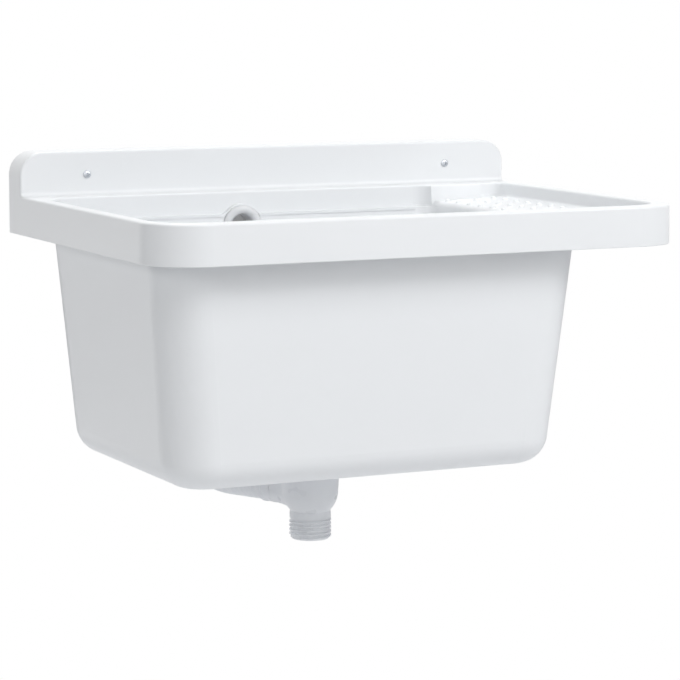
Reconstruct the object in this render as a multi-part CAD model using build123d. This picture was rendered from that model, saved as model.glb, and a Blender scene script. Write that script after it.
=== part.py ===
"""Wall-mounted laundry sink: one hollow plastic moulding with its waste, overflow and wall fixings.

Millimetres. +X is to the right seen from the front, +Y goes into the wall, +Z is up.
The origin lies on the wall's face, midway between the two wall screws.
"""
import math
import os

from build123d import *

# Overall sizes of the moulding
sink_width = 600.0          # across the rim
sink_depth = 448.0          # from the wall's face to the front of the rim
rim_height = 42.0           # outer face of the rim
bowl_drop = 232.6           # from the rim's lower edge to the underside of the bowl
splash_rise = 48.5          # splash back above the top of the rim
splash_depth = 38.0         # front of the splash back from the wall's face
skin = 3.5                  # walls of the rim and the splash back
wall = 4.0                  # walls of the bowl and the tray
floor_wall = 5.0            # floor of the bowl

# Flat strips round the opening, and the soap tray on its right
side_strip = 16.0
front_strip = 24.0
back_strip = 22.0
tray_width = 92.0

# Corner radii seen from above
rim_corner = 56.0
opening_corner = 42.0
tray_corner = 14.0          # at the back of the tray
bowl_corner = 43.0
bowl_tray_corner = 22.0     # at the back of the bowl, beside the tray

# Rounded edges
edge_round = 2.5
lower_edge_round = 0.8
splash_corner = 26.0        # upper corners seen from the front
splash_foot = 4.5           # hollow edge between the splash back and the rim
floor_round = 27.6          # inside the bowl, between walls and floor
tray_edge_round = 7.0       # where the tray drops into the bowl
tray_foot_round = 3.0

# Ledge inside the bowl, with a small lip under it
ledge_below_rim = 24.9
ledge_left = 3.4
ledge_front = 7.0
ledge_back = 5.3
lip_height = 3.0
lip_proud = 1.2

# Slope of each bowl wall, in mm for each mm of depth
draft_left = 0.085
draft_right = 0.10
draft_front = 0.075
draft_back = 0.064

# Soap tray
tray_depth = 18.2           # below the rim, along its left edge
tray_fall = 0.026           # slope of its floor towards the bowl
nub_radius = 4.0
nub_height = 2.8
nub_pitch = 26.8            # along a row, front to back
nub_row_gap = 30.0
nub_from_edge = 9.0         # first row from the edge of the bowl
nub_from_back = 28.5        # first nub from the back wall
nub_clearance = 10.0        # last nub from the front wall, and last row from the right wall
pad_length = 62.0           # thicker stretch of the back wall, beside the bowl
pad_thickness = 10.0
pad_draft = 1.0

# Stiffening ribs behind the splash back and under the tray
rib = 2.5
splash_rib_gap = 46.0
splash_rib_margin = 20.0    # from the last rib to the end of the splash back, at least
tray_ribs = 3
tray_rib_gap = 92.0
tray_rib_height = 9.0

# Wall fixings
screw_spacing = 445.0
screw_above_rim = 22.8
screw_shank = 5.0
screw_clearance = 0.3       # round the shank, in the moulding
screw_head = 8.8
screw_head_height = 2.6
screw_head_edge = 1.0       # straight side of the head
screw_head_shoulder = 1.2
screw_length = 80.0
screw_point = 5.0
screw_tip = 0.4
cross_width = 1.1           # recess in the head
cross_length = 4.6
cross_depth = 1.7
screw_boss_wall = 4.2
boss_recess = 1.0           # screw bosses stop short of the wall's face
plug_diameter = 8.0
plug_length = 40.0
plug_slot = 1.0
plug_solid = 22.0           # unslotted end of the plug

# Dished floor and seat of the waste
dish_radius = 120.0
dish_depth = 1.5
seat_margin = 1.0           # flat of the dish beyond the strainer's flange
seat_depth = 2.5
seat_clearance = 0.5        # round the seat and the overflow ring
drain_clearance = 0.8       # round the strainer's well, in the floor
floor_boss_wall = 4.5
floor_boss = 3.0

# Strainer and its screw
strainer_flange = 11.0      # width of its flange
strainer_sheet = 1.2
well_draft = 2.0            # narrower at its floor than at its top
well_depth = 12.0
strainer_gasket_height = 1.5
strainer_gasket_play = 0.5
strainer_hole = 2.6
inner_holes = 8
outer_holes = 12
hole_inset = 4.5            # outer ring of holes from the edge of the well's floor
hole_row_gap = 7.0
bolt_radius = 3.0
bolt_clearance = 0.2
bolt_head_radius = 6.0
bolt_head_height = 2.6
bolt_head_edge = 0.8
bolt_head_shoulder = 1.7
bolt_length = 18.0
bolt_slot = 1.2

# Stopper and its pull ring
stopper_lip = 2.5           # flange beyond the strainer's well
stopper_flange = 3.0
stopper_chamfer = 1.0
stopper_plug_depth = 6.5
stopper_gap = 0.4           # between the plug and the strainer's well
stopper_rest = 0.2          # between its flange and the strainer
post_radius = 3.2
post_height = 10.0
eye_radius = 1.9
eye_height = 6.0
ring_radius = 11.0
ring_wire = 0.8
ring_rest = 0.3             # between the ring and the top of the stopper

# Waste body
waste_gasket_height = 2.5
waste_gasket_play = 1.0
waste_flange_lip = 6.2
waste_flange = 4.0
waste_wall = 3.0
cup_side_radius = 30.3      # where the cup starts to round in
cup_side_drop = 37.0        # from the underside of the bowl to there
cup_draft = 1.5             # wider at its top
cup_clearance = 2.6         # round the strainer's well
cup_round = 29.2
neck_flare = 1.54
neck_proud = 0.4
neck_height = 2.2
collar_proud = 1.1
collar_height = 5.5
collar_foot = 0.6
spigot_length = 22.8        # threaded part below the collar
spigot_wall = 2.7
spigot_chamfer = 1.5
thread_root = 21.2
thread_height = 1.5
thread_pitch = 4.3
thread_from_end = 0.4       # above the spigot's chamfer
thread_from_collar = 2.0
thread_start = -144.0       # degrees round from +X
thread_base = 3.4
thread_crest = 1.2
thread_root_overlap = 0.4
hub_wall = 2.7
hub_floor = 1.0
hub_webs = 3
web = 3.0
web_height = 12.0
insert_wall = 1.8
insert_height = 13.0

# Overflow ring, seal, gasket and elbow
overflow_below_rim = 38.8
overflow_offset = 2.9       # to the left of the waste
overflow_ring_radius = 23.5
overflow_ring_dome = 4.0
overflow_ring_edge = 1.0
overflow_bore = 13.8
tail_wall = 2.0
tail_clearance = 0.3
overflow_boss_wall = 1.0
overflow_boss_blend = 9.0
overflow_boss_proud = 0.4   # in front of the bowl's wall, at the overflow's centre
overflow_pad_margin = 4.0   # pad behind the wall, beyond the elbow's flange
overflow_pad_proud = 1.0
overflow_seal_height = 1.0
overflow_seal_inset = 3.0
seal_play = 0.2
overflow_gasket_height = 2.0
overflow_gasket_play = 0.4
elbow_flange_lip = 7.4
elbow_flange = 3.5
elbow_wall = 2.8
elbow_ball_gap = 2.4        # between its ball and the face of its flange
elbow_reach = 27.0          # from the elbow's centre to the end of the pipe
tail_in_elbow = 8.0

# Overflow pipe, its two collars and the stubs that it is pushed on
stub_radius = 14.0
stub_wall = 2.2
stub_length = 26.0
pipe_wall = 2.0
pipe_bend = 105.0
branch_turn = 26.0          # degrees from straight back, towards the left
branch_drop = 37.9          # from the underside of the bowl to its centre line
branch_reach = 42.0         # from the waste's centre to the end of the pipe
collar_width = 16.0
collar_wall = 1.1
collar_rim = 0.5
collar_rim_width = 3.0
collar_inset = 2.0

# Heights
rim_top = -screw_above_rim
rim_bottom = rim_top - rim_height
splash_top = rim_top + splash_rise
bowl_bottom = rim_bottom - bowl_drop
floor_z = bowl_bottom + floor_wall
ledge_z = rim_top - ledge_below_rim
tray_z = rim_top - tray_depth
overflow_z = rim_top - overflow_below_rim

screw_hole = screw_shank / 2 + screw_clearance

# Plan positions
left = -sink_width / 2
right = sink_width / 2
front = -sink_depth
open_left = left + side_strip
open_right = right - side_strip
open_front = front + front_strip
open_back = -splash_depth - back_strip
divide = open_right - tray_width
in_left = open_left + ledge_left
in_front = open_front + ledge_front
in_back = open_back - ledge_back

# The waste is in the middle of the bowl, taken at half its depth, and the overflow nearly in line with it
floor_down = ledge_z - floor_z
waste_x = (in_left + divide + (draft_left - draft_right) * floor_down / 2) / 2
waste_y = (in_front + in_back + (draft_front - draft_back) * floor_down / 2) / 2
overflow_x = waste_x - overflow_offset
seat_front = in_back - draft_back * (ledge_z - overflow_z) + overflow_boss_proud
seat_back = open_back + wall + overflow_pad_proud
elbow_flange_y = seat_back + overflow_gasket_height

# Radii in the waste: the strainer's well hangs in the cup, and the rest goes round the well
cup_top_radius = cup_side_radius + cup_draft
waste_flange_radius = cup_top_radius + waste_flange_lip
well_top_radius = cup_top_radius - waste_wall - cup_clearance - strainer_sheet
well_floor_radius = well_top_radius - well_draft
outer_hole_circle = well_floor_radius - hole_inset
inner_hole_circle = outer_hole_circle - hole_row_gap
strainer_radius = well_top_radius + strainer_flange
stopper_radius = well_top_radius + stopper_lip
drain_radius = well_top_radius + strainer_sheet + drain_clearance
seat_radius = strainer_radius + seat_margin
floor_boss_radius = seat_radius + seat_clearance + floor_boss_wall
insert_radius = bolt_radius + insert_wall
hub_radius = insert_radius + hub_wall
spigot_bore = thread_root - spigot_wall
neck_radius = thread_root + neck_proud
collar_radius = thread_root + collar_proud
cup_centre = cup_side_radius - cup_round
cup_turn = math.acos((neck_radius + neck_flare - cup_centre) / cup_round)

# Radii in the overflow
tail_radius = overflow_bore + tail_wall
overflow_seal_radius = overflow_ring_radius - overflow_seal_inset
overflow_boss_radius = overflow_ring_radius + seat_clearance + overflow_boss_wall
elbow_radius = tail_radius + elbow_wall
elbow_flange_radius = elbow_radius + elbow_flange_lip
elbow_run = elbow_radius + elbow_ball_gap
pipe_lane = elbow_flange_y + elbow_run
overflow_pad_radius = elbow_flange_radius + overflow_pad_margin
pipe_radius = stub_radius + pipe_wall
stub_bore = stub_radius - stub_wall

# Heights in the waste, measured from the underside of the bowl
seat_up = floor_wall - dish_depth - seat_depth
strainer_top = seat_up + strainer_gasket_height + strainer_sheet
well_floor = strainer_top - well_depth
hub_top = well_floor - strainer_sheet
hub_height = bolt_length - strainer_sheet + bolt_clearance + hub_floor
flange_top = -floor_boss - waste_gasket_height
flange_foot = flange_top - waste_flange
neck_top = -cup_side_drop - cup_round * math.sin(cup_turn)
collar_top = neck_top - 2 * neck_height
spigot_top = collar_top - collar_height
spigot_foot = spigot_top - spigot_length
thread_run = spigot_length - spigot_chamfer - thread_from_end - thread_from_collar
waste_place = Pos(waste_x, waste_y, bowl_bottom)


def rounded(x0, x1, y0, y1, front_left, front_right, back_right, back_left):
    """Flat rectangle with its own radius at each corner, 0 for a square one."""
    corners = [
        (x1, y0, front_right, -90, -1, 1),
        (x1, y1, back_right, 0, -1, -1),
        (x0, y1, back_left, 90, 1, -1),
        (x0, y0, front_left, 180, 1, 1),
    ]
    edges = []
    ends = []
    for x, y, radius, angle, to_x, to_y in corners:
        centre = (x + to_x * radius, y + to_y * radius)
        if radius > 0:
            arc = CenterArc(centre, radius, angle, 90)
            edges.append(arc)
            ends.append((arc @ 0, arc @ 1))
        else:
            ends.append((Vector(x, y), Vector(x, y)))
    for index, corner in enumerate(ends):
        edges.append(Line(ends[index - 1][1], corner[0]))
    return Face(Wire(edges))


def prism(face, z0, z1):
    """Straight block of a flat outline between two heights."""
    return extrude(Pos(0, 0, z0) * face, amount=z1 - z0, dir=(0, 0, 1))


def block(x0, x1, y0, y1, z0, z1):
    """Box given by its limits."""
    return Pos((x0 + x1) / 2, (y0 + y1) / 2, (z0 + z1) / 2) * Box(x1 - x0, y1 - y0, z1 - z0)


def rod(radius, z0, z1):
    """Solid rod on the z axis."""
    return Pos(0, 0, (z0 + z1) / 2) * Cylinder(radius, z1 - z0)


def tube(radius, bore, z0, z1):
    """Ring or pipe on the z axis."""
    return rod(radius, z0, z1) - rod(bore, z0, z1)


def turned(*edges):
    """Solid turned about the z axis from the edges of its half section in the XZ plane."""
    return revolve(Face(Wire(list(edges))), Axis.Z, 360)


def path(*points):
    """Straight lines through (radius, height) points of a half section."""
    return Polyline(*[(r, 0, z) for r, z in points]).edges()


def facing(x, y, z, direction):
    """Placing of a piece drawn along +Z so that it starts at a point and runs along a direction."""
    return Plane(origin=(x, y, z), z_dir=direction).location


def into_wall(x, y, z):
    """Placing of a piece drawn along +Z so that it starts at a point and runs straight back."""
    return facing(x, y, z, (0, 1, 0))


def bowl_outline(down, grow):
    """Outline of the bowl's inside at a depth below the ledge, grown outwards."""
    share = down / floor_down
    tray_side = bowl_tray_corner + (bowl_corner - bowl_tray_corner) * share
    outline = rounded(
        in_left + draft_left * down - grow,
        divide - draft_right * down + grow,
        in_front + draft_front * down - grow,
        in_back - draft_back * down + grow,
        bowl_corner + grow, bowl_corner + grow, tray_side + grow, bowl_corner + grow)
    return Pos(0, 0, ledge_z - down) * outline


def bowl_solid(grow, down, bottom_round):
    """The bowl's inside as a solid, grown outwards, from the ledge to a depth, rounded below."""
    solid = loft([bowl_outline(down, grow), bowl_outline(0, grow)], ruled=True)
    return fillet(solid.faces().sort_by(Axis.Z)[0].edges(), bottom_round)


def upper_opening(grow):
    """Outline of the bowl's part of the opening in the rim, above the ledge."""
    return rounded(
        open_left - grow, divide + grow, open_front - grow, open_back + grow,
        opening_corner + grow, bowl_corner + grow, bowl_tray_corner + grow, opening_corner + grow)


def tray_opening(grow):
    """Outline of the tray's part of the opening, overlapping the bowl's."""
    return rounded(
        divide - bowl_corner - wall, open_right + grow, open_front - grow, open_back + grow,
        0, opening_corner + grow, tray_corner + grow, 0)


def tray_floor(drop):
    """Everything above the tray's sloping floor, lowered by a distance."""
    x0 = left
    x1 = right
    section = Polyline(
        (x0, 0, tray_z - drop + (x0 - divide) * tray_fall),
        (x1, 0, tray_z - drop + (x1 - divide) * tray_fall),
        (x1, 0, rim_top + 1),
        (x0, 0, rim_top + 1),
        close=True)
    return extrude(Face(Wire(section.edges())), amount=sink_depth, dir=(0, -1, 0))


def tray_pad():
    """Thicker stretch of the tray's back wall, sloping out towards its foot."""
    foot_y = open_back - pad_thickness - pad_draft
    section = Polyline(
        (0, open_back, rim_top + 1),
        (0, open_back - pad_thickness, rim_top + 1),
        (0, foot_y, tray_z - wall),
        (0, open_back, tray_z - wall),
        close=True)
    start = divide - bowl_tray_corner
    solid = extrude(Face(Wire(section.edges())), amount=divide + pad_length - start, dir=(1, 0, 0))
    return Pos(start, 0, 0) * solid


def tray_edge():
    """Corner taken off where the tray drops into the bowl, straight and round the two corners."""
    slope = math.atan(tray_fall)
    centre_x = divide + tray_edge_round
    centre_z = tray_z + tray_edge_round * (tray_fall - math.sqrt(1 + tray_fall ** 2))
    middle = math.radians(45)
    touch_x = centre_x - tray_edge_round * math.sin(slope)
    touch = (touch_x, 0, centre_z + tray_edge_round * math.cos(slope))
    reach = tray_edge_round * math.sin(middle)
    halfway = (centre_x - reach, 0, centre_z + reach)
    foot = (divide, 0, centre_z)
    top = tray_z + nub_height
    section = Face(Wire([
        ThreePointArc(foot, halfway, touch),
        *Polyline(touch, (touch_x, 0, top), (divide - 1, 0, top), (divide - 1, 0, centre_z), foot).edges(),
    ]))
    back_y = open_back - bowl_tray_corner
    front_y = open_front + bowl_corner
    straight = Pos(0, back_y, 0) * extrude(section, amount=back_y - front_y, dir=(0, -1, 0))
    back_axis = Axis((divide - bowl_tray_corner, back_y, 0), (0, 0, 1))
    front_axis = Axis((divide - bowl_corner, front_y, 0), (0, 0, -1))
    back = revolve(Pos(0, back_y, 0) * section, back_axis, 90)
    front_turn = revolve(Pos(0, front_y, 0) * section, front_axis, 90)
    inside = prism(tray_opening(0), rim_bottom, rim_top)
    return ((straight + back + front_turn) & inside) - tray_pad()


def ledge_lip():
    """Small lip that stands out under the ledge, on every side but the tray's."""
    outer = prism(bowl_outline(0, wall / 2).moved(Pos(0, 0, -ledge_z)), ledge_z - lip_height, ledge_z)
    inner = prism(bowl_outline(lip_height, -lip_proud).moved(Pos(0, 0, lip_height - ledge_z)),
                  ledge_z - lip_height - 1, ledge_z + 1)
    tray_side = block(divide - bowl_tray_corner, right, front, 0, ledge_z - lip_height - 1, ledge_z + 1)
    return outer - inner - tray_side


def overflow_boss():
    """Flat boss for the overflow ring: the ledge runs over it in a curve."""
    ledge_up = ledge_z - overflow_z
    width = 2 * (overflow_boss_radius + overflow_boss_blend)
    outline = Circle(overflow_boss_radius) + Pos(0, ledge_up - overflow_boss_radius / 2) * Rectangle(
        width * 2, overflow_boss_radius)
    crossings = [v for v in outline.vertices()
                 if abs(v.Y - ledge_up) < 0.01 and abs(v.X) < overflow_boss_radius]
    outline = fillet(crossings, overflow_boss_blend)
    outline = outline & Pos(0, ledge_up + overflow_boss_radius / 2) * Rectangle(
        width, overflow_boss_radius + 2 * lip_height)
    drawn = Plane(origin=(overflow_x, seat_front, overflow_z), x_dir=(1, 0, 0), z_dir=(0, -1, 0)).location
    return extrude(drawn * outline, amount=open_back - seat_front + wall / 2, dir=(0, 1, 0))


def tray_nubs():
    """Low domes on the tray, every other row moved by half a pitch."""
    sphere_radius = (nub_radius ** 2 + nub_height ** 2) / (2 * nub_height)
    root = wall / 3
    ball = Pos(0, 0, nub_height - sphere_radius) * Sphere(sphere_radius)
    dome = ball & rod(nub_radius * 1.1, -root, nub_height)
    nubs = []
    rows = int((tray_width - nub_from_edge - nub_radius - nub_clearance) / nub_row_gap) + 1
    for row in range(rows):
        x = divide + nub_from_edge + row * nub_row_gap
        first = open_back - nub_from_back - (row % 2) * nub_pitch / 2
        count = int((first - open_front - nub_clearance) / nub_pitch) + 1
        for index in range(count):
            z = tray_z + (x - divide) * tray_fall
            nubs.append(Pos(x, first - index * nub_pitch, z) * dome)
    return nubs


def screw_points():
    """Centres of the two wall screws."""
    return [(side * screw_spacing / 2, 0) for side in (-1, 1)]


def outer_shell():
    """Solid rim and splash back with their outside edges rounded."""
    rim = prism(rounded(left, right, front, 0, rim_corner, rim_corner, 0, 0), rim_bottom, rim_top)
    splash = block(left, right, -splash_depth, 0, rim_bottom, splash_top)
    splash = fillet(splash.edges().filter_by(Axis.Y).group_by(Axis.Z)[-1], splash_corner)
    solid = (rim + splash).clean()
    foot = [e for e in solid.edges().filter_by(Axis.X)
            if abs(e.center().Z - rim_top) < 0.01 and abs(e.center().Y + splash_depth) < 0.01]
    solid = fillet(foot, splash_foot)
    solid = fillet([e for e in solid.edges() if on_outer_edge(e)], edge_round)
    lower = [e for e in solid.edges() if abs((e @ 0.5).Z - rim_bottom) < 0.01 and (e @ 0.5).Y < -1]
    return fillet(lower, lower_edge_round)


def on_outer_edge(edge):
    """True for the edges round the top of the rim and the front of the splash back."""
    middle = edge @ 0.5
    across = abs((edge @ 1).X - (edge @ 0).X) > sink_width / 2
    if abs(middle.Z - rim_top) < 0.01:
        return not (across and middle.Y > front / 2)
    if abs(middle.Y + splash_depth) < 0.01:
        return not (across and middle.Z < splash_top - 1)
    near_foot = abs(middle.Y + splash_depth) < splash_foot and abs(middle.Z - rim_top) < splash_foot
    return near_foot and edge.geom_type == GeomType.CIRCLE


def on_opening_edge(edge):
    """True for the edges round the opening, at the top of the rim."""
    middle = edge @ 0.5
    across = open_left - 1 < middle.X < open_right + 1
    return across and open_front - 1 < middle.Y < open_back + 1 and abs(middle.Z - rim_top) < 0.01


def stiffening_ribs():
    """Upright ribs behind the splash back, and cross ribs under the tray."""
    ribs = []
    each_side = int((sink_width / 2 - skin - splash_rib_margin) / splash_rib_gap)
    for index in range(-each_side, each_side + 1):
        x = splash_rib_gap * index
        ribs.append(block(x - rib / 2, x + rib / 2, skin / 2 - splash_depth, 0,
                          rim_top - wall, splash_top - skin / 2))
    for index in range(tray_ribs):
        y = (open_front + open_back) / 2 + tray_rib_gap * (index - (tray_ribs - 1) / 2)
        ribs.append(block(divide, right - skin / 2, y - rib / 2, y + rib / 2,
                          tray_z - wall - tray_rib_height, tray_z - wall / 2))
    return ribs


def rim_hollow():
    """Space inside the rim and the splash back, open below and towards the wall."""
    inner_corner = rim_corner - skin
    under = rounded(left + skin, right - skin, front + skin, 1, inner_corner, inner_corner, 0, 0)
    rim = prism(under, rim_bottom - 1, rim_top - wall)
    splash = block(left + skin, right - skin, skin - splash_depth, 1, rim_bottom - 1, splash_top - skin)
    return rim + fillet(splash.edges().filter_by(Axis.Y).group_by(Axis.Z)[-1], splash_corner - skin)


def bowl_core():
    """Outside of the bowl, its collar and the tray, still solid."""
    bowl = bowl_solid(wall, ledge_z - bowl_bottom, floor_round + wall)
    collar = prism(upper_opening(wall), ledge_z - wall, rim_top - wall / 2)
    tray = prism(tray_opening(wall), rim_bottom, rim_top - wall / 2) & tray_floor(wall)
    seat = waste_place * rod(floor_boss_radius, -floor_boss, floor_wall)
    pad_start = seat_front + wall / 2
    pad = into_wall(overflow_x, pad_start, overflow_z) * rod(overflow_pad_radius, 0, seat_back - pad_start)
    return bowl + collar + tray + seat + pad


def bowl_inside():
    """Space inside the bowl, its collar and the tray."""
    bowl = bowl_solid(0, floor_down, floor_round)
    collar = prism(upper_opening(0), ledge_z, rim_top + 1)
    tray = prism(tray_opening(0), rim_bottom, rim_top + 1) & tray_floor(0)
    foot = tray.faces().sort_by(Axis.Z)[0].edges().sort_by(Axis.X)[1:]
    tray = fillet(foot, tray_foot_round) - tray_pad()
    dish = waste_place * turned(*path(
        (0, floor_wall + 1), (dish_radius, floor_wall + 1), (dish_radius, floor_wall),
        (seat_radius, floor_wall - dish_depth), (0, floor_wall - dish_depth), (0, floor_wall + 1)))
    return bowl + collar + tray + dish


def make_basin():
    """The moulding: hollow rim and splash back, bowl and soap tray in one piece."""
    solid = outer_shell() - rim_hollow() + bowl_core()
    solid = solid + stiffening_ribs()
    for x, z in screw_points():
        boss = rod(screw_hole + screw_boss_wall, 0, splash_depth - skin / 2 - boss_recess)
        solid = solid + into_wall(x, skin / 2 - splash_depth, z) * boss
    solid = solid - bowl_inside() - tray_edge()
    solid = fillet([e for e in solid.edges() if on_opening_edge(e)], edge_round)
    solid = solid + ledge_lip() + overflow_boss() + tray_nubs()
    for x, z in screw_points():
        solid = solid - into_wall(x, -splash_depth - 1, z) * rod(screw_hole, 0, splash_depth + 2)
    solid = solid - waste_place * rod(seat_radius + seat_clearance, seat_up, floor_wall + 1)
    solid = solid - waste_place * rod(drain_radius, -floor_boss - 1, floor_wall)
    ring_seat = into_wall(overflow_x, seat_front, overflow_z)
    solid = solid - ring_seat * rod(overflow_ring_radius + seat_clearance, -2 * overflow_ring_dome, 0)
    return solid - ring_seat * rod(tail_radius + tail_clearance, -1, seat_back - seat_front + 1)


def domed_head(radius, edge, height, shoulder):
    """Round head on the z axis: a straight side, then a crown that is steepest at its shoulder."""
    crown = ThreePointArc((radius, 0, edge), (radius - shoulder, 0, height - shoulder / 3), (0, 0, height))
    return turned(*path((0, height), (0, 0), (radius, 0), (radius, edge)), crown)


def make_wall_screws():
    """Two pan-head screws with a cross recess."""
    head = Rot(180, 0, 0) * domed_head(
        screw_head / 2, screw_head_edge, screw_head_height, screw_head_shoulder)
    shank = rod(screw_shank / 2, 0, screw_length - screw_point)
    point = Pos(0, 0, screw_length - screw_point / 2) * Cone(screw_shank / 2, screw_tip, screw_point)
    slot = block(-cross_length / 2, cross_length / 2, -cross_width / 2, cross_width / 2,
                 -screw_head_height - 1, cross_depth - screw_head_height)
    screw = head + shank + point - slot - Rot(0, 0, 90) * slot
    return [into_wall(x, -splash_depth, z) * screw for x, z in screw_points()]


def make_wall_plugs():
    """Two plastic plugs that sit in the wall behind the screws."""
    slot = block(-plug_diameter, plug_diameter, -plug_slot / 2, plug_slot / 2, plug_solid, plug_length + 1)
    plug = tube(plug_diameter / 2, screw_shank / 2, 0, plug_length) - slot
    return [into_wall(x, 0, z) * plug for x, z in screw_points()]


def make_strainer():
    """Pressed strainer: flange, well and two rings of holes round the screw."""
    top = strainer_top
    sheet = strainer_sheet
    pressed = turned(*path(
        (0, well_floor), (well_floor_radius, well_floor), (well_top_radius, top), (strainer_radius, top),
        (strainer_radius, top - sheet), (well_top_radius + sheet, top - sheet),
        (well_floor_radius + sheet, well_floor - sheet), (0, well_floor - sheet), (0, well_floor)))
    holes = [rod(bolt_radius + bolt_clearance, well_floor - 5, top)]
    drain_hole = rod(strainer_hole, well_floor - 5, well_floor + 1)
    for count, circle in ((inner_holes, inner_hole_circle), (outer_holes, outer_hole_circle)):
        holes += [Rot(0, 0, n * 360 / count) * Pos(circle, 0, 0) * drain_hole for n in range(count)]
    return waste_place * (pressed - holes)


def make_strainer_screw():
    """Slotted screw that pulls the strainer and the waste together."""
    dome = domed_head(bolt_head_radius, bolt_head_edge, bolt_head_height, bolt_head_shoulder)
    slot = Pos(0, 0, bolt_head_height) * Box(2 * bolt_head_radius, bolt_slot, 2 * bolt_slot)
    screw = dome + rod(bolt_radius, -bolt_length, 0) - slot
    return waste_place * Pos(0, 0, well_floor) * screw


def make_strainer_gasket():
    """Flat rubber ring under the strainer's flange."""
    bore = well_top_radius + strainer_sheet + strainer_gasket_play
    return waste_place * tube(strainer_radius, bore, seat_up, seat_up + strainer_gasket_height)


def make_waste_gasket():
    """Flat rubber ring between the underside of the bowl and the waste body."""
    return waste_place * tube(waste_flange_radius, drain_radius + waste_gasket_play, flange_top, -floor_boss)


def branch_direction():
    """Level direction of the side branch."""
    turn = math.radians(branch_turn)
    return (-math.sin(turn), math.cos(turn), 0)


def spigot_thread():
    """Helical ridge round the spigot."""
    helix = Helix(pitch=thread_pitch, height=thread_run, radius=thread_root)
    ridge = Polyline(
        (-thread_root_overlap, -thread_base / 2),
        (thread_height, -thread_crest / 2),
        (thread_height, thread_crest / 2),
        (-thread_root_overlap, thread_base / 2),
        close=True)
    section = Plane(origin=helix @ 0, x_dir=(1, 0, 0), z_dir=helix % 0).location * Face(Wire(ridge.edges()))
    start = Pos(0, 0, spigot_foot + spigot_chamfer + thread_from_end) * Rot(0, 0, thread_start)
    return start * sweep(section, path=helix, is_frenet=True)


def make_waste_body():
    """Cup under the drain with a threaded spigot, a side branch for the overflow and a central hub."""
    inner_round = cup_round - waste_wall
    inner_turn = math.acos((spigot_bore - cup_centre) / inner_round)

    def cup_arc(radius, angle):
        points = []
        for share in (0, 0.5, 1):
            across = cup_centre + radius * math.cos(angle * share)
            points.append((across, 0, -cup_side_drop - radius * math.sin(angle * share)))
        return ThreePointArc(*points)

    outer_arc = cup_arc(cup_round, cup_turn)
    outer = turned(
        *path((0, flange_top), (waste_flange_radius, flange_top), (waste_flange_radius, flange_foot),
              (cup_top_radius, flange_foot), (cup_side_radius, -cup_side_drop)),
        outer_arc,
        *path(((outer_arc @ 1).X, (outer_arc @ 1).Z), (neck_radius, neck_top - neck_height),
              (collar_radius, collar_top), (collar_radius, spigot_top),
              (thread_root, spigot_top - collar_foot), (thread_root, spigot_foot + spigot_chamfer),
              (thread_root - spigot_chamfer, spigot_foot),
              (0, spigot_foot), (0, flange_top)))
    inner_arc = cup_arc(inner_round, inner_turn)
    inner = turned(
        *path((0, flange_top + 1), (cup_top_radius - waste_wall, flange_top + 1),
              (cup_side_radius - waste_wall, -cup_side_drop)),
        inner_arc,
        *path((spigot_bore, (inner_arc @ 1).Z), (spigot_bore, spigot_foot - 1), (0, spigot_foot - 1),
              (0, flange_top + 1)))
    side = facing(0, 0, -branch_drop, branch_direction())
    branch = side * (rod(pipe_radius, 0, branch_reach) + rod(stub_radius, 0, branch_reach + stub_length))
    bore = side * rod(stub_bore, 0, branch_reach + stub_length + 1)
    hub = rod(hub_radius, hub_top - hub_height, hub_top)
    web_angle = 90 + branch_turn + 180 / hub_webs
    reach = cup_side_radius - waste_wall / 2
    webs = [Rot(0, 0, web_angle + n * 360 / hub_webs) * block(
        0, reach, -web / 2, web / 2, hub_top - hub_height, hub_top - hub_height + web_height)
        for n in range(hub_webs)]
    socket = rod(insert_radius, hub_top - insert_height, hub_top + 1)
    relief = rod(bolt_radius + bolt_clearance, hub_top - hub_height + hub_floor, hub_top)
    body = outer + branch - inner - bore + hub + webs - socket - relief
    return waste_place * (body + spigot_thread())


def make_screw_insert():
    """Brass insert in the hub, which the strainer's screw goes into."""
    return waste_place * tube(insert_radius, bolt_radius, hub_top - insert_height, hub_top)


def make_stopper():
    """Rubber plug with a post and an eye for its ring."""
    seat = strainer_top + stopper_rest
    slope = (well_top_radius - well_floor_radius) / well_depth
    plug_top = well_top_radius - stopper_gap
    plug_foot = plug_top - slope * stopper_plug_depth
    foot = seat - stopper_plug_depth
    rounding = stopper_flange * 0.5
    body = turned(*path(
        (0, foot), (plug_foot - stopper_chamfer, foot), (plug_foot, foot + stopper_chamfer),
        (plug_top, seat), (stopper_radius, seat), (stopper_radius, seat + rounding),
        (stopper_radius - rounding, seat + stopper_flange), (0, seat + stopper_flange), (0, foot)))
    post = rod(post_radius, seat, seat + stopper_flange + post_height)
    post = fillet(post.edges().group_by(Axis.Z)[-1], post_radius * 0.6)
    eye_z = seat + stopper_flange + eye_height
    eye = facing(-2 * post_radius, 0, eye_z, (1, 0, 0)) * rod(eye_radius, 0, 4 * post_radius)
    return waste_place * (body + post - eye)


def make_stopper_ring():
    """Wire ring through the eye, lying over on the stopper."""
    lean = math.acos((ring_wire + ring_rest - eye_height) / (2 * ring_radius))
    eye_z = strainer_top + stopper_rest + stopper_flange + eye_height
    along_ring = (0, -math.sin(lean), math.cos(lean))
    across = Vector(1, 0, 0).cross(Vector(*along_ring))
    centre = Vector(0, 0, eye_z) + Vector(*along_ring) * ring_radius
    return waste_place * facing(centre.X, centre.Y, centre.Z, across) * Torus(ring_radius, ring_wire)


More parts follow.
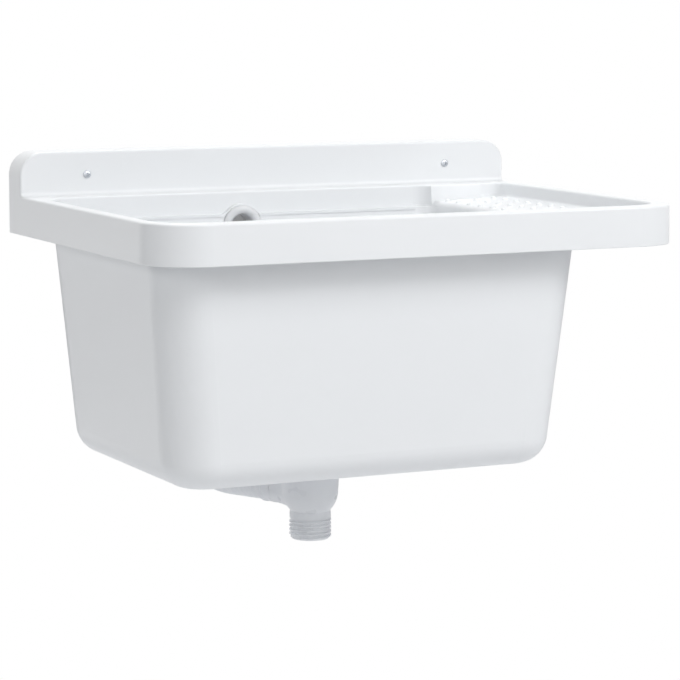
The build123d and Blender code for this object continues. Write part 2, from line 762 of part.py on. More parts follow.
def make_overflow_ring():
    """Domed ring in front of the overflow, with a tail that screws into the elbow behind."""
    flange = overflow_ring_radius
    edge = -overflow_ring_edge
    middle = (flange + overflow_bore) / 2
    groove = overflow_seal_radius + seal_play
    tail_end = elbow_flange_y + tail_in_elbow - seat_front
    ring = turned(
        Line((overflow_bore, 0, tail_end), (overflow_bore, 0, edge)),
        ThreePointArc((overflow_bore, 0, edge), (middle, 0, -overflow_ring_dome), (flange, 0, edge)),
        *path((flange, edge), (flange, 0), (groove, 0), (groove, -overflow_seal_height),
              (tail_radius, -overflow_seal_height), (tail_radius, tail_end), (overflow_bore, tail_end)))
    return into_wall(overflow_x, seat_front, overflow_z) * ring


def make_overflow_seal():
    """Rubber ring in the groove behind the overflow ring's flange."""
    seal = tube(overflow_seal_radius, tail_radius + seal_play, -overflow_seal_height, 0)
    return into_wall(overflow_x, seat_front, overflow_z) * seal


def make_overflow_gasket():
    """Flat rubber ring between the back of the bowl and the elbow."""
    gasket = tube(elbow_flange_radius, tail_radius + overflow_gasket_play, 0, overflow_gasket_height)
    return into_wall(overflow_x, seat_back, overflow_z) * gasket


def pipe_corners():
    """The pipe's lower end, the corner that its bend rounds off, and the elbow's centre."""
    way = branch_direction()
    z = bowl_bottom - branch_drop
    run = (pipe_lane - waste_y) / way[1]
    start = Vector(waste_x + way[0] * branch_reach, waste_y + way[1] * branch_reach, z)
    corner = Vector(waste_x + way[0] * run, pipe_lane, z)
    return start, corner, Vector(overflow_x, pipe_lane, overflow_z)


def make_overflow_elbow():
    """Elbow behind the bowl that leads the overflow down to the pipe."""
    start, corner, centre = pipe_corners()
    down = (corner - centre).normalized()
    inlet = into_wall(overflow_x, elbow_flange_y, overflow_z)
    outlet = facing(centre.X, centre.Y, centre.Z, (down.X, down.Y, down.Z))
    ball = Pos(centre.X, centre.Y, centre.Z)
    outer = inlet * (rod(elbow_flange_radius, 0, elbow_flange) + rod(elbow_radius, 0, elbow_run))
    outer = outer + ball * Sphere(elbow_radius) + outlet * (
        rod(elbow_radius, 0, elbow_reach) + rod(stub_radius, 0, elbow_reach + stub_length))
    inner = inlet * (rod(tail_radius, -1, tail_in_elbow) + rod(overflow_bore, 0, elbow_run))
    inner = inner + ball * Sphere(overflow_bore) + outlet * rod(stub_bore, 0, elbow_reach + stub_length + 1)
    return outer - inner


def make_overflow_pipe():
    """Bent rigid pipe from the waste's side branch up to the elbow."""
    start, corner, centre = pipe_corners()
    into = (corner - start).normalized()
    out = (centre - corner).normalized()
    end = centre - out * elbow_reach
    turn = math.acos(into.dot(out))
    tangent = pipe_bend * math.tan(turn / 2)
    bend_start = corner - into * tangent
    bend_end = corner + out * tangent
    inward = (out - into).normalized()
    bend_middle = corner + inward * pipe_bend * (1 / math.cos(turn / 2) - 1)
    bend = ThreePointArc(bend_start, bend_middle, bend_end)
    route = Wire([Line(start, bend_start), bend, Line(bend_end, end)])
    face = facing(start.X, start.Y, start.Z, (into.X, into.Y, into.Z)) * Circle(pipe_radius)
    bore = facing(start.X, start.Y, start.Z, (into.X, into.Y, into.Z)) * Circle(stub_radius)
    return sweep(face, path=route) - sweep(bore, path=route)


def make_pipe_collars():
    """Two push-on collars that hold the pipe on its stubs."""
    start, corner, centre = pipe_corners()
    into = (corner - start).normalized()
    down = (corner - centre).normalized()
    middle = tube(pipe_radius + collar_wall, pipe_radius, 0, collar_width)
    rim = tube(pipe_radius + collar_wall + collar_rim, pipe_radius, 0, collar_rim_width)
    collar = middle + rim + Pos(0, 0, collar_width - collar_rim_width) * rim
    low = start + into * collar_inset
    high = centre + down * (elbow_reach + collar_inset)
    return [facing(low.X, low.Y, low.Z, (into.X, into.Y, into.Z)) * collar,
            facing(high.X, high.Y, high.Z, (down.X, down.Y, down.Z)) * collar]


makers = {
    "basin": make_basin,
    "wall_screws": make_wall_screws,
    "wall_plugs": make_wall_plugs,
    "strainer": make_strainer,
    "strainer_screw": make_strainer_screw,
    "strainer_gasket": make_strainer_gasket,
    "waste_gasket": make_waste_gasket,
    "waste_body": make_waste_body,
    "screw_insert": make_screw_insert,
    "stopper": make_stopper,
    "stopper_ring": make_stopper_ring,
    "overflow_ring": make_overflow_ring,
    "overflow_seal": make_overflow_seal,
    "overflow_gasket": make_overflow_gasket,
    "overflow_elbow": make_overflow_elbow,
    "overflow_pipe": make_overflow_pipe,
    "pipe_collars": make_pipe_collars,
}

os.makedirs("parts", exist_ok=True)
for name, make in makers.items():
    made = make()
    if isinstance(made, list):
        made = Compound(children=made)
    export_step(made, f"parts/{name}.step")
    print(name, len(made.solids()), round(sum(s.volume for s in made.solids()) / 1000, 2), "cm3")
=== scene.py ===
import math

import bpy
from mathutils import Matrix, Vector


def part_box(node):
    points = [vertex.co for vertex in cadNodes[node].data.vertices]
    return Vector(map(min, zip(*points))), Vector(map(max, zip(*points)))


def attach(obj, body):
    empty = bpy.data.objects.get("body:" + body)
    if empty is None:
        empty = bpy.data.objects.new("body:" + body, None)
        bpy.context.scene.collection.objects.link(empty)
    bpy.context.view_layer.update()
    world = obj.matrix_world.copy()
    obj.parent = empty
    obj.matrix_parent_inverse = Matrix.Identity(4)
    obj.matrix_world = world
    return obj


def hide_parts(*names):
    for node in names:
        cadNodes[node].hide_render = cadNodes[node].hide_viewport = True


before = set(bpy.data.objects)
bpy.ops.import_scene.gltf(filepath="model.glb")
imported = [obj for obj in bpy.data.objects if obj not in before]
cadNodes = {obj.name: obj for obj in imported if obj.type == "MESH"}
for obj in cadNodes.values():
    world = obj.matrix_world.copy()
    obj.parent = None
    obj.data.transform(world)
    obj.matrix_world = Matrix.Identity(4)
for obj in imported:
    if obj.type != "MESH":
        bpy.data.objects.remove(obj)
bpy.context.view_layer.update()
print("frame loaded:", len(cadNodes), "nodes")


# Colours are written as sRGB hex and turned linear here
def linearColour(hexColour):
    channels = []
    for start in (1, 3, 5):
        value = int(hexColour[start:start + 2], 16) / 255
        channels.append(value / 12.92 if value <= 0.04045 else ((value + 0.055) / 1.055) ** 2.4)
    return (*channels, 1.0)


def addNode(tree, kind, links=None, inputs=None, **settings):
    node = tree.nodes.new(kind)
    for name, value in settings.items():
        setattr(node, name, value)
    for name, value in (inputs or {}).items():
        node.inputs[name].default_value = value
    for name, socket in (links or {}).items():
        tree.links.new(socket, node.inputs[name])
    return node


def startMaterial(name, shader):
    material = bpy.data.materials.new(name)
    material.use_nodes = True
    tree = material.node_tree
    tree.nodes.clear()
    principled = addNode(tree, "ShaderNodeBsdfPrincipled", inputs=shader)
    addNode(tree, "ShaderNodeOutputMaterial", {"Surface": principled.outputs[0]})
    place = addNode(tree, "ShaderNodeTexCoord").outputs["Object"]
    return material, tree, principled, place


# Lays a pattern's dark and light parts out as two colours
def tint(tree, shader, pattern, first, second, start=0.3, end=0.7):
    ramp = addNode(tree, "ShaderNodeValToRGB", {"Fac": pattern})
    for element, colour, position in zip(ramp.color_ramp.elements, (first, second), (start, end)):
        element.color = linearColour(colour)
        element.position = position
    tree.links.new(ramp.outputs["Color"], shader.inputs["Base Color"])


# Lets a pattern move the roughness between two values
def polish(tree, shader, pattern, smoothest, roughest):
    spread = addNode(tree, "ShaderNodeMapRange", {"Value": pattern},
                     {"To Min": smoothest, "To Max": roughest})
    tree.links.new(spread.outputs["Result"], shader.inputs["Roughness"])


def relief(tree, shader, pattern, depth, strength):
    bump = addNode(tree, "ShaderNodeBump", {"Height": pattern},
                   {"Distance": depth, "Strength": strength})
    tree.links.new(bump.outputs["Normal"], shader.inputs["Normal"])


def middle(node):
    low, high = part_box(node)
    return (low + high) / 2


wasteAxis = middle("waste_gasket")
ontoWasteAxis = (-wasteAxis.x, -wasteAxis.y, 0)
pureWhite = linearColour("#FFFFFF")


# A wave of rings repeats every pi / 10 over its scale
def ringScale(pitch):
    return math.pi / (10 * pitch)


# Polypropylene, injection moulded in a satin mould: white with a soft, wide highlight. The tone drifts
# a little along the flow, and the mould's fine grain breaks the highlight up
sinkPlastic = {
    "colour": "#EEF0F2",
    "drift": "#EDEFF1",
    "driftSize": 0.16,        # metres, as all sizes here
    "driftDetail": 4.0,
    "smoothest": 0.275,
    "roughest": 0.29,
    "cloudSize": 0.05,
    "cloudDetail": 2.0,
    "grainSize": 0.0012,      # the real grain is 0.1 mm, drawn coarser so that it shows
    "grainDetail": 2.0,
    "grainDepth": 0.000002,
    "grainStrength": 0.5,
    "ior": 1.49,
}


def mouldedPolypropylene():
    look = sinkPlastic
    material, tree, shader, place = startMaterial("mouldedPolypropylene", {"IOR": look["ior"]})
    drift = addNode(tree, "ShaderNodeTexNoise", {"Vector": place},
                    {"Scale": 1 / look["driftSize"], "Detail": look["driftDetail"]})
    cloud = addNode(tree, "ShaderNodeTexNoise", {"Vector": place},
                    {"Scale": 1 / look["cloudSize"], "Detail": look["cloudDetail"]})
    grain = addNode(tree, "ShaderNodeTexNoise", {"Vector": place},
                    {"Scale": 1 / look["grainSize"], "Detail": look["grainDetail"]})
    tint(tree, shader, drift.outputs["Fac"], look["colour"], look["drift"])
    polish(tree, shader, cloud.outputs["Fac"], look["smoothest"], look["roughest"])
    relief(tree, shader, grain.outputs["Fac"], look["grainDepth"], look["grainStrength"])
    return material


# Polypropylene, injection moulded in a polished mould. Its grey, a little darker than the sink, is
# painted shade for the fittings that hang in the shadow under the bowl. Its highlight is bent slightly
# by the waves that the flow leaves in thick walls
fittingPlasticPaintedShade = {
    "name": "polishedPolypropylene",
    # painted shade: these greys darken the fittings as if shaded, though the overflow is the same
    # plastic
    "colour": "#E6E8EB",
    "drift": "#E4E6EA",
    "driftSize": 0.03,
    "driftDetail": 4.0,
    "smoothest": 0.25,
    "roughest": 0.32,
    "flowSize": 0.014,
    "flowDetail": 0.0,
    "flowDepth": 0.000008,
    "flowStrength": 0.3,
    "ior": 1.49,
    "lightIn": 0.0,           # share of the light that enters the plastic, and how far it gets
    "lightReach": 0.001,
    "lightSpread": (1.0, 0.95, 0.9),
}

# The overflow's parts are moulded of the same, as white as the sink and thin enough to glow inside
overflowPlastic = dict(fittingPlasticPaintedShade, name="thinPolypropylene", colour="#F0F1F3", drift="#EEEFF1",
                       lightIn=0.95, lightReach=0.01)


def polishedPolypropylene(look):
    material, tree, shader, place = startMaterial(look["name"], {
        "IOR": look["ior"], "Subsurface Weight": look["lightIn"], "Subsurface Scale": look["lightReach"],
        "Subsurface Radius": look["lightSpread"]})
    drift = addNode(tree, "ShaderNodeTexNoise", {"Vector": place},
                    {"Scale": 1 / look["driftSize"], "Detail": look["driftDetail"]})
    flow = addNode(tree, "ShaderNodeTexNoise", {"Vector": place},
                   {"Scale": 1 / look["flowSize"], "Detail": look["flowDetail"]})
    tint(tree, shader, drift.outputs["Fac"], look["colour"], look["drift"])
    polish(tree, shader, flow.outputs["Fac"], look["smoothest"], look["roughest"])
    relief(tree, shader, flow.outputs["Fac"], look["flowDepth"], look["flowStrength"])
    return material


# Polypropylene, extruded as pipe: slightly milky, with the faint streaks and ripples that the die leaves
pipePlastic = {
    "colour": "#E9EBEE",
    "drift": "#E1E4E8",
    "streakSize": 0.004,
    "streakDetail": 3.0,
    "upright": (1.0, 1.0, 0.12),     # draws the streaks out along the pipe's height
    "smoothest": 0.32,
    "roughest": 0.45,
    "rippleSize": 0.009,
    "rippleDetail": 1.0,
    "rippleDepth": 0.00006,
    "rippleStrength": 0.4,
    "ior": 1.49,
}


def extrudedPolypropylene():
    look = pipePlastic
    material, tree, shader, place = startMaterial("extrudedPolypropylene", {"IOR": look["ior"]})
    upright = addNode(tree, "ShaderNodeMapping", {"Vector": place}, {"Scale": look["upright"]})
    streak = addNode(tree, "ShaderNodeTexNoise", {"Vector": upright.outputs[0]},
                     {"Scale": 1 / look["streakSize"], "Detail": look["streakDetail"]})
    ripple = addNode(tree, "ShaderNodeTexNoise", {"Vector": place},
                     {"Scale": 1 / look["rippleSize"], "Detail": look["rippleDetail"]})
    tint(tree, shader, streak.outputs["Fac"], look["colour"], look["drift"])
    polish(tree, shader, streak.outputs["Fac"], look["smoothest"], look["roughest"])
    relief(tree, shader, ripple.outputs["Fac"], look["rippleDepth"], look["rippleStrength"])
    return material


# Nylon, injection moulded: the plugs are the warm grey of undyed nylon, waxy and slightly uneven
plugPlastic = {
    "colour": "#C9C8C2",
    "drift": "#B9B8B1",
    "driftSize": 0.006,
    "driftDetail": 3.0,
    "smoothest": 0.38,
    "roughest": 0.52,
    "grainSize": 0.0007,
    "grainDetail": 2.0,
    "grainDepth": 0.00002,
    "grainStrength": 0.4,
    "ior": 1.53,
}


def mouldedNylon():
    look = plugPlastic
    material, tree, shader, place = startMaterial("mouldedNylon", {"IOR": look["ior"]})
    drift = addNode(tree, "ShaderNodeTexNoise", {"Vector": place},
                    {"Scale": 1 / look["driftSize"], "Detail": look["driftDetail"]})
    grain = addNode(tree, "ShaderNodeTexNoise", {"Vector": place},
                    {"Scale": 1 / look["grainSize"], "Detail": look["grainDetail"]})
    tint(tree, shader, drift.outputs["Fac"], look["colour"], look["drift"])
    polish(tree, shader, drift.outputs["Fac"], look["smoothest"], look["roughest"])
    relief(tree, shader, grain.outputs["Fac"], look["grainDepth"], look["grainStrength"])
    return material


# Steel, zinc plated in a barrel: grey with a faint blue passivation, and dull patches where the screws
# rubbed on each other
screwMetal = {
    "colour": "#D3D6DA",
    "patch": "#BFC3C9",
    "patchSize": 0.0022,
    "patchDetail": 4.0,
    "smoothest": 0.3,
    "roughest": 0.5,
    "scuffSize": 0.0006,
    "scuffDetail": 2.0,
    "scuffDepth": 0.00001,
    "scuffStrength": 0.3,
}


def zincPlatedSteel():
    look = screwMetal
    material, tree, shader, place = startMaterial("zincPlatedSteel", {"Metallic": 1.0})
    patch = addNode(tree, "ShaderNodeTexNoise", {"Vector": place},
                    {"Scale": 1 / look["patchSize"], "Detail": look["patchDetail"]})
    scuff = addNode(tree, "ShaderNodeTexNoise", {"Vector": place},
                    {"Scale": 1 / look["scuffSize"], "Detail": look["scuffDetail"]})
    tint(tree, shader, patch.outputs["Fac"], look["colour"], look["patch"])
    polish(tree, shader, patch.outputs["Fac"], look["smoothest"], look["roughest"])
    relief(tree, shader, scuff.outputs["Fac"], look["scuffDepth"], look["scuffStrength"])
    return material


# Stainless steel sheet, spun and polished: bright, with fine circles left by the polishing round the
# middle of the drain
strainerMetal = {
    "colour": "#CDCED0",
    "line": "#BFC0C3",
    "linePitch": 0.0006,      # the real ones are about 0.05 mm apart, drawn coarser so that they show
    "lineRange": (0.1, 0.9),
    "lineDepth": 0.000006,
    "lineStrength": 0.3,
    "unevenness": 2.5,
    "unevenDetail": 3.0,
    "unevenScale": 0.6,
    "smoothest": 0.16,
    "roughest": 0.27,
}


def polishedStainless():
    look = strainerMetal
    material, tree, shader, place = startMaterial("polishedStainless", {"Metallic": 1.0})
    centred = addNode(tree, "ShaderNodeMapping", {"Vector": place}, {"Location": ontoWasteAxis})
    circles = addNode(tree, "ShaderNodeTexWave", {"Vector": centred.outputs[0]},
                      {"Scale": ringScale(look["linePitch"]), "Distortion": look["unevenness"],
                       "Detail": look["unevenDetail"], "Detail Scale": look["unevenScale"]},
                      wave_type="RINGS", rings_direction="Z")
    tint(tree, shader, circles.outputs["Fac"], look["colour"], look["line"], *look["lineRange"])
    polish(tree, shader, circles.outputs["Fac"], look["smoothest"], look["roughest"])
    relief(tree, shader, circles.outputs["Fac"], look["lineDepth"], look["lineStrength"])
    return material


# Stainless steel wire, drawn and bent: bright, with short scratches from the die
wireMetal = {
    "colour": "#D0D1D2",
    "scratch": "#B5B6B8",
    "scratchSize": 0.0008,
    "scratchDetail": 3.0,
    "scratchBend": 1.5,
    "smoothest": 0.14,
    "roughest": 0.3,
}


def drawnStainless():
    look = wireMetal
    material, tree, shader, place = startMaterial("drawnStainless", {"Metallic": 1.0})
    scratch = addNode(tree, "ShaderNodeTexNoise", {"Vector": place},
                      {"Scale": 1 / look["scratchSize"], "Detail": look["scratchDetail"],
                       "Distortion": look["scratchBend"]})
    tint(tree, shader, scratch.outputs["Fac"], look["colour"], look["scratch"])
    polish(tree, shader, scratch.outputs["Fac"], look["smoothest"], look["roughest"])
    return material


# Brass, turned on a lathe: warm yellow with the tool's circles, a little tarnished in places
insertMetal = {
    "colour": "#D2AE6A",
    "tarnish": "#A88546",
    "tarnishSize": 0.005,
    "tarnishDetail": 4.0,
    "tarnishRange": (0.45, 0.8),
    "turningPitch": 0.0004,   # the real ones are about 0.1 mm apart, drawn coarser so that they show
    "turningDepth": 0.00001,
    "turningStrength": 0.3,
    "smoothest": 0.22,
    "roughest": 0.4,
}


def turnedBrass():
    look = insertMetal
    material, tree, shader, place = startMaterial("turnedBrass", {"Metallic": 1.0})
    tarnish = addNode(tree, "ShaderNodeTexNoise", {"Vector": place},
                      {"Scale": 1 / look["tarnishSize"], "Detail": look["tarnishDetail"]})
    centred = addNode(tree, "ShaderNodeMapping", {"Vector": place}, {"Location": ontoWasteAxis})
    turning = addNode(tree, "ShaderNodeTexWave", {"Vector": centred.outputs[0]},
                      {"Scale": ringScale(look["turningPitch"])}, wave_type="RINGS", rings_direction="Z")
    tint(tree, shader, tarnish.outputs["Fac"], look["colour"], look["tarnish"], *look["tarnishRange"])
    polish(tree, shader, tarnish.outputs["Fac"], look["smoothest"], look["roughest"])
    relief(tree, shader, turning.outputs["Fac"], look["turningDepth"], look["turningStrength"])
    return material


# Rubber, compression moulded: near black, with a greyish bloom that dulls it in patches
sealRubber = {
    "colour": "#2A2B2D",
    "bloom": "#45474A",
    "bloomSize": 0.011,
    "bloomDetail": 5.0,
    "bloomRange": (0.35, 0.8),
    "smoothest": 0.48,
    "roughest": 0.68,
    "grainSize": 0.0005,
    "grainDetail": 2.0,
    "grainDepth": 0.00003,
    "grainStrength": 0.4,
    "ior": 1.52,
}


def mouldedRubber():
    look = sealRubber
    material, tree, shader, place = startMaterial("mouldedRubber", {"IOR": look["ior"]})
    bloom = addNode(tree, "ShaderNodeTexNoise", {"Vector": place},
                    {"Scale": 1 / look["bloomSize"], "Detail": look["bloomDetail"]})
    grain = addNode(tree, "ShaderNodeTexNoise", {"Vector": place},
                    {"Scale": 1 / look["grainSize"], "Detail": look["grainDetail"]})
    tint(tree, shader, bloom.outputs["Fac"], look["colour"], look["bloom"], *look["bloomRange"])
    polish(tree, shader, bloom.outputs["Fac"], look["smoothest"], look["roughest"])
    relief(tree, shader, grain.outputs["Fac"], look["grainDepth"], look["grainStrength"])
    return material


sinkWhite = mouldedPolypropylene()
# greyed by painted shade, for the waste and the pipe collars under the bowl
fittingWhitePaintedShade = polishedPolypropylene(fittingPlasticPaintedShade)
overflowWhite = polishedPolypropylene(overflowPlastic)
pipeWhite = extrudedPolypropylene()
nylon = mouldedNylon()
zinc = zincPlatedSteel()
stainless = polishedStainless()
wire = drawnStainless()
brass = turnedBrass()
rubber = mouldedRubber()

finishes = {
    "basin": sinkWhite,
    "wall_screws": zinc,
    "wall_plugs": nylon,
    "strainer": stainless,
    "strainer_screw": stainless,
    "strainer_gasket": rubber,
    "waste_gasket": rubber,
    "waste_body": fittingWhitePaintedShade,
    "screw_insert": brass,
    "stopper": rubber,
    "stopper_ring": wire,
    "overflow_ring": overflowWhite,
    "overflow_seal": rubber,
    "overflow_gasket": rubber,
    "overflow_elbow": overflowWhite,
    "overflow_pipe": pipeWhite,
    "pipe_collars": fittingWhitePaintedShade,
}
for name, finish in finishes.items():
    cadNodes[name].data.materials.clear()
    cadNodes[name].data.materials.append(finish)
print("materials made:", len(set(finishes.values())))


# Turns a solid by extruding a disc along Z through the radii of its outline
def turnedSolid(name, outline, place=Matrix(), sides=64):
    along, radius = outline[0]
    bpy.ops.object.select_all(action="DESELECT")
    bpy.ops.mesh.primitive_circle_add(vertices=sides, radius=radius, fill_type="NGON",
                                      location=(0, 0, along))
    piece = bpy.context.object
    piece.name = piece.data.name = name
    bpy.ops.object.transform_apply(location=True)
    bpy.ops.object.mode_set(mode="EDIT")
    bpy.ops.mesh.select_all(action="SELECT")
    for nextAlong, nextRadius in outline[1:]:
        bpy.ops.mesh.extrude_region_move(TRANSFORM_OT_translate={"value": (0, 0, nextAlong - along)})
        bpy.ops.transform.resize(value=(nextRadius / radius, nextRadius / radius, 1),
                                 center_override=(0, 0, nextAlong))
        along, radius = nextAlong, nextRadius
    bpy.ops.mesh.select_all(action="SELECT")
    bpy.ops.mesh.normals_make_consistent(inside=False)
    bpy.ops.object.mode_set(mode="OBJECT")
    piece.matrix_world = place
    bpy.ops.object.transform_apply(location=True, rotation=True, scale=True)
    return piece


# Cuts or joins with another solid, which is used up
def combine(piece, tool, operation):
    step = piece.modifiers.new("combine", "BOOLEAN")
    step.object = tool
    step.operation = operation
    step.solver = "EXACT"
    bpy.ops.object.select_all(action="DESELECT")
    bpy.context.view_layer.objects.active = piece
    bpy.ops.object.modifier_apply(modifier=step.name)
    bpy.data.objects.remove(tool)


def joined(name, pieces):
    bpy.ops.object.select_all(action="DESELECT")
    for piece in pieces:
        piece.select_set(True)
    bpy.context.view_layer.objects.active = pieces[0]
    bpy.ops.object.join()
    pieces[0].name = pieces[0].data.name = name
    return pieces[0]


def finishPiece(piece, material, smoothTo, body, slot, *nodes):
    piece.data.materials.clear()
    piece.data.materials.append(material)
    bpy.ops.object.select_all(action="DESELECT")
    piece.select_set(True)
    bpy.context.view_layer.objects.active = piece
    bpy.ops.object.shade_smooth_by_angle(angle=math.radians(smoothTo))
    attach(piece, body)
    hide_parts(*nodes)


mergeWithin = 0.000001


# A copy of a CAD node as one closed skin
def mergedCopy(node, name):
    piece = bpy.data.objects.new(name, cadNodes[node].data.copy())
    bpy.context.scene.collection.objects.link(piece)
    bpy.ops.object.select_all(action="DESELECT")
    piece.select_set(True)
    bpy.context.view_layer.objects.active = piece
    bpy.ops.mesh.customdata_custom_splitnormals_clear()
    bpy.ops.object.mode_set(mode="EDIT")
    bpy.ops.mesh.select_all(action="SELECT")
    bpy.ops.mesh.remove_doubles(threshold=mergeWithin)
    bpy.ops.object.mode_set(mode="OBJECT")
    return piece


# The waste's side branch grows out of its cup with a long flare. An outline is a list of distances along
# an axis with their radii: the branch's runs outwards from the cup, the cup's downwards from the bowl
wasteLook = {
    "under": -0.2974,         # underside of the bowl
    "branchDrop": 0.0379,     # from there to the middle of the branch
    "branchTurn": 26,         # degrees from straight back, to the left
    "flare": [(0.0438, 0.0174), (0.0425, 0.0175), (0.041, 0.0177), (0.039, 0.01795), (0.037, 0.0183),
              (0.0345, 0.0187), (0.032, 0.0191), (0.0295, 0.0196), (0.027, 0.0203), (0.0245, 0.021),
              (0.022, 0.0219), (0.0195, 0.0231), (0.017, 0.0246), (0.012, 0.027)],
    "flat": 0.016,            # the flare's underside is pressed flat below this
    "press": 0.22,
    "core": [(0.001, 0.0302), (-0.037, 0.0288), (-0.041, 0.0284), (-0.045, 0.0274), (-0.049, 0.0255),
             (-0.0525, 0.0232), (-0.0555, 0.0212), (-0.058, 0.0203), (-0.075, 0.02)],
    "bore": [(0.0, 0.0118), (0.05, 0.0118)],
    "socket": [(0.0415, 0.01605), (0.05, 0.01605)],
    "sides": {"flare": 128, "core": 128, "bore": 64, "socket": 96},
    "smoothTo": 38,
}


def makeWasteBody():
    look = wasteLook
    sides = look["sides"]
    onAxis = Matrix.Translation((wasteAxis.x, wasteAxis.y, look["under"]))
    alongBranch = (Matrix.Translation((wasteAxis.x, wasteAxis.y, look["under"] - look["branchDrop"]))
                   @ Matrix.Rotation(math.radians(look["branchTurn"]), 4, "Z")
                   @ Matrix.Rotation(math.radians(-90), 4, "X"))
    flare = turnedSolid("branchFlare", look["flare"], alongBranch, sides["flare"])
    pressedFrom = look["under"] - look["branchDrop"] - look["flat"]
    bpy.ops.object.mode_set(mode="EDIT")
    bpy.ops.mesh.select_all(action="DESELECT")
    bpy.ops.object.mode_set(mode="OBJECT")
    for point in flare.data.vertices:
        point.select = point.co.z < pressedFrom
    bpy.ops.object.mode_set(mode="EDIT")
    bpy.ops.mesh.select_mode(type="VERT")
    bpy.ops.transform.resize(value=(1, 1, look["press"]), center_override=(0, 0, pressedFrom))
    bpy.ops.object.mode_set(mode="OBJECT")
    combine(flare, turnedSolid("cupCore", look["core"], onAxis, sides["core"]), "DIFFERENCE")
    combine(flare, turnedSolid("branchBore", look["bore"], alongBranch, sides["bore"]), "DIFFERENCE")
    combine(flare, turnedSolid("pipeSocket", look["socket"], alongBranch, sides["socket"]), "DIFFERENCE")
    body = mergedCopy("waste_body", "wasteBody")
    combine(body, flare, "UNION")
    finishPiece(body, fittingWhitePaintedShade, look["smoothTo"], "sink", "waste", "waste_body")


makeWasteBody()
print("waste body made")


# Expansion plugs as they lie in their holes: a rim at the wall's face, barbs, and a slot that lets the
# screw spread them
plugLook = {
    "radius": 0.004,
    "rim": [(0.0, 0.0037), (0.0003, 0.004), (0.0011, 0.004), (0.0015, 0.0035), (0.0055, 0.0035)],
    "barbs": 10,
    "barbPitch": 0.003,
    "barbRoot": 0.0034,
    "barbTip": 0.004,
    "barbSteps": (0.0002, 0.0024, 0.0027),       # foot, and both ends of the tip
    "nose": [(0.0375, 0.0034), (0.0394, 0.0031), (0.04, 0.0028)],
    "bore": [(-0.001, 0.00252), (0.041, 0.00252)],
    "slot": (0.012, 0.001, 0.034),       # across, wide, long
    "slotFrom": 0.0075,
    "wing": (0.001, 0.0086, 0.009),      # wide, across, long: two fins that stop it turning
    "wingFrom": 0.003,
    "sides": {"plug": 48, "bore": 32},
    "smoothTo": 30,
}


def makeWallPlugs():
    look = plugLook
    outline = list(look["rim"])
    start = outline[-1][0]
    foot, tipFrom, tipTo = look["barbSteps"]
    for barb in range(look["barbs"]):
        low = start + barb * look["barbPitch"]
        outline += [(low + foot, look["barbRoot"]), (low + tipFrom, look["barbTip"]),
                    (low + tipTo, look["barbTip"])]
    outline += look["nose"]
    plug = turnedSolid("plug", outline, sides=look["sides"]["plug"])
    bpy.ops.mesh.primitive_cube_add(size=1, location=(0, 0, look["wingFrom"] + look["wing"][2] / 2),
                                    scale=look["wing"])
    wing = bpy.context.object
    bpy.ops.object.transform_apply(location=True, rotation=True, scale=True)
    combine(plug, wing, "UNION")
    combine(plug, turnedSolid("bore", look["bore"], sides=look["sides"]["bore"]), "DIFFERENCE")
    bpy.ops.object.select_all(action="DESELECT")
    bpy.ops.mesh.primitive_cube_add(size=1, location=(0, 0, look["slotFrom"] + look["slot"][2] / 2),
                                    scale=look["slot"])
    slot = bpy.context.object
    bpy.ops.object.transform_apply(location=True, rotation=True, scale=True)
    combine(plug, slot, "DIFFERENCE")
    intoWall = Matrix.Rotation(math.radians(-90), 4, "X")
    plugLow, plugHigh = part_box("wall_plugs")
    pair = []
    for x in (plugLow.x + look["radius"], plugHigh.x - look["radius"]):
        one = plug.copy()
        one.data = plug.data.copy()
        bpy.context.scene.collection.objects.link(one)
        one.data.transform(Matrix.Translation((x, 0, 0)) @ intoWall)
        pair.append(one)
    bpy.data.objects.remove(plug)
    plugs = joined("wallPlugs", pair)
    finishPiece(plugs, nylon, look["smoothTo"], "sink", "plugs", "wall_plugs")


makeWallPlugs()
print("wall plugs made")


# Camera, solved from the photograph's straight edges: metres, degrees, and the lens in millimetres
cameraFit = {
    "place": (-1.2817, -2.9159, 0.2074),
    "yaw": 25.436,
    "pitch": 6.473,
    "roll": 0.024,
    "lens": 146.58,
    "sensor": 36,
    "shiftY": -0.06,
    "sees": (0.05, 60),
}


def makeCamera():
    data = bpy.data.cameras.new("camera")
    camera = bpy.data.objects.new("camera", data)
    bpy.context.scene.collection.objects.link(camera)
    data.sensor_width = cameraFit["sensor"]
    data.lens = cameraFit["lens"]
    data.shift_y = cameraFit["shiftY"]
    data.clip_start, data.clip_end = cameraFit["sees"]
    camera.location = cameraFit["place"]
    camera.rotation_euler = (math.radians(90 - cameraFit["pitch"]), math.radians(cameraFit["roll"]),
                             math.radians(-cameraFit["yaw"]))
    bpy.context.scene.camera = camera


makeCamera()

# Floor of matt paint, as far below the rim as in a room, with faint marks left by its roller. The camera
# sees it nearly white with the shadow on it, and wholly white further out
floorLook = {
    "height": -0.873,
    "size": 14.0,
    "colour": "#F2F3F5",
    "mark": "#EFF0F2",
    "markSize": 0.4,
    "roughness": 0.9,
    "shadowMiddle": (0, -0.22, -0.873),
    "shadowReach": 0.75,
    "fadedAt": 1.3,
    "glow": 0.7,
}


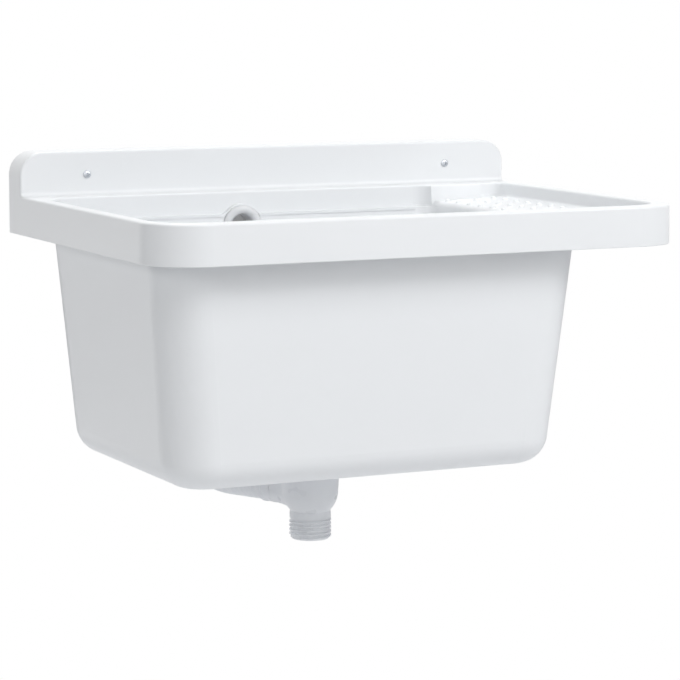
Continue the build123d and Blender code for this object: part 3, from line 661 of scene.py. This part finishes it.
def makeFloor():
    bpy.ops.object.select_all(action="DESELECT")
    bpy.ops.mesh.primitive_plane_add(size=floorLook["size"], location=(0, 0, floorLook["height"]))
    floor = bpy.context.object
    floor.name = "floor"
    bpy.ops.object.transform_apply(location=True, rotation=True, scale=True)
    material, tree, shader, place = startMaterial("mattPaint", {"Roughness": floorLook["roughness"]})
    mark = addNode(tree, "ShaderNodeTexNoise", {"Vector": place}, {"Scale": 1 / floorLook["markSize"]})
    tint(tree, shader, mark.outputs["Fac"], floorLook["colour"], floorLook["mark"])
    path = addNode(tree, "ShaderNodeLightPath")
    away = addNode(tree, "ShaderNodeVectorMath", {0: place}, {1: floorLook["shadowMiddle"]},
                   operation="DISTANCE")
    fade = addNode(tree, "ShaderNodeMapRange", {"Value": away.outputs["Value"]},
                   {"From Min": floorLook["shadowReach"], "From Max": floorLook["fadedAt"],
                    "To Min": floorLook["glow"], "To Max": 1.0}, interpolation_type="SMOOTHSTEP")
    seen = addNode(tree, "ShaderNodeMath", {0: path.outputs["Is Camera Ray"], 1: fade.outputs["Result"]},
                   operation="MULTIPLY")
    glow = addNode(tree, "ShaderNodeEmission", inputs={"Color": pureWhite})
    mix = addNode(tree, "ShaderNodeMixShader",
                  {0: seen.outputs[0], 1: shader.outputs[0], 2: glow.outputs[0]})
    end = next(node for node in tree.nodes if node.type == "OUTPUT_MATERIAL")
    tree.links.new(mix.outputs[0], end.inputs["Surface"])
    floor.data.materials.append(material)


makeFloor()

# Studio: the camera, glass and metal see a white room, and the rest gets its plain level
studioLook = {"level": 0.25, "seen": 1.0}


def makeStudio():
    world = bpy.data.worlds.new("studio")
    bpy.context.scene.world = world
    world.use_nodes = True
    tree = world.node_tree
    tree.nodes.clear()
    path = addNode(tree, "ShaderNodeLightPath")
    direct = addNode(tree, "ShaderNodeMath",
                     {0: path.outputs["Is Camera Ray"], 1: path.outputs["Is Glossy Ray"]},
                     operation="MAXIMUM")
    white = addNode(tree, "ShaderNodeMath",
                    {0: direct.outputs[0], 1: path.outputs["Is Transmission Ray"]},
                    operation="MAXIMUM")
    level = addNode(tree, "ShaderNodeBackground",
                    inputs={"Color": pureWhite, "Strength": studioLook["level"]})
    seen = addNode(tree, "ShaderNodeBackground",
                   inputs={"Color": pureWhite, "Strength": studioLook["seen"]})
    mix = addNode(tree, "ShaderNodeMixShader",
                  {0: white.outputs[0], 1: level.outputs[0], 2: seen.outputs[0]})
    addNode(tree, "ShaderNodeOutputWorld", {"Surface": mix.outputs[0]})


makeStudio()

# Square soft lamps, all aimed at the sink and hidden from the camera: degrees from the front (to the
# left), degrees up, metres away, metres across, watts
lampTarget = Vector((0, -0.22, -0.15))
lamps = {
    "frontHigh": (0, 50, 3.5, 1.3, 34.4),
    "front": (-20, 28, 3.5, 1.3, 9.0),
    "frontLow": (-30, 10, 3.5, 1.3, 5.6),
    "right": (-45, 35, 3.5, 1.3, 30.5),
    "left": (60, 20, 3.5, 1.3, 15.4),
    "backHigh": (180, 65, 3.5, 1.3, 53.0),
    "back": (150, 5, 3.5, 1.3, 2.0),
    "backLow": (150, -15, 2.0, 0.9, 1.7),
}


def makeLamps():
    for name, (azimuth, elevation, distance, size, watts) in lamps.items():
        data = bpy.data.lights.new(name, "AREA")
        data.shape = "SQUARE"
        data.size = size
        data.energy = watts
        lamp = bpy.data.objects.new(name, data)
        bpy.context.scene.collection.objects.link(lamp)
        lamp.visible_camera = False
        across, up = math.radians(azimuth), math.radians(elevation)
        way = Vector((-math.sin(across) * math.cos(up), -math.cos(across) * math.cos(up), math.sin(up)))
        lamp.location = lampTarget + way * distance
        lamp.rotation_euler = way.to_track_quat("Z", "Y").to_euler()


makeLamps()
bpy.context.scene.view_settings.view_transform = "Standard"
print("camera, floor and lamps made")
